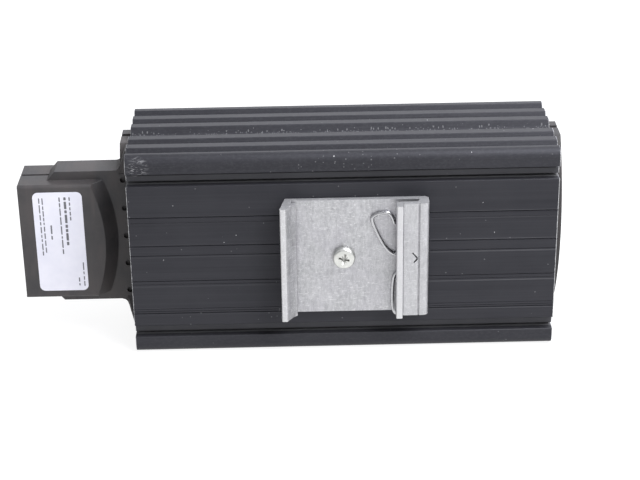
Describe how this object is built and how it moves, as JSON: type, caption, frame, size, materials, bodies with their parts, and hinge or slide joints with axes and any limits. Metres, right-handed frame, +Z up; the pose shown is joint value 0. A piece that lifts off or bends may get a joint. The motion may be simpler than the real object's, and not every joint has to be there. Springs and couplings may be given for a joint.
{
  "type": "enclosure heater",
  "caption": "Cabinet heater: ribbed black aluminium body with air ducts, plastic wire connector at one end, end cap at the other, and a rail clip with a wire spring on the back.",
  "frame": {"origin": "middle of the base: the part lies on the tips of its lower side ribs, at Z = 0", "axes": "+X along the body, away from the connector; -Y out of the back, where the rail clip is; +Z up, across the body's width"},
  "size_m": [0.18, 0.0564, 0.0704],
  "materials": {
    "black_aluminium": "black anodised extrusion",
    "black_plastic": "matte black moulding",
    "label": "white film label",
    "bare_aluminium": "mill finish extrusion",
    "spring_steel": "drawn wire and strip",
    "zinc_steel": "zinc plated",
    "heating_stone": "ceramic",
    "inner_plastic": "natural moulding",
    "contact_brass": "sheet",
    "amber_sheet": "amber film",
    "lead_brown": "insulated lead",
    "lead_blue": "insulated lead",
    "lead_green": "insulated lead"
  },
  "bodies": {
    "root": {"heatsink_profile": "black_aluminium", "connector_base": "black_plastic", "terminal_cover": "black_plastic", "end_cap": "black_plastic", "rating_label": "label", "rail_clip": "bare_aluminium", "clip_spring": "spring_steel", "clip_screw": "zinc_steel", "ptc_stones": "heating_stone", "stone_frame": "inner_plastic", "electrode_live": "contact_brass", "electrode_neutral": "contact_brass", "insulation_back": "amber_sheet", "insulation_front": "amber_sheet", "fixed_wedge": "bare_aluminium", "drive_wedge": "bare_aluminium", "terminal_carrier": "inner_plastic", "current_bar_live": "contact_brass", "current_bar_neutral": "contact_brass", "earth_bar": "contact_brass", "clamp_springs": "spring_steel", "live_lead": "lead_brown", "neutral_lead": "lead_blue", "earth_lead": "lead_green", "earth_ring": "zinc_steel", "earth_screw": "zinc_steel", "flange_screws": "zinc_steel", "cap_screws": "zinc_steel"}
  },
  "joints": []
}
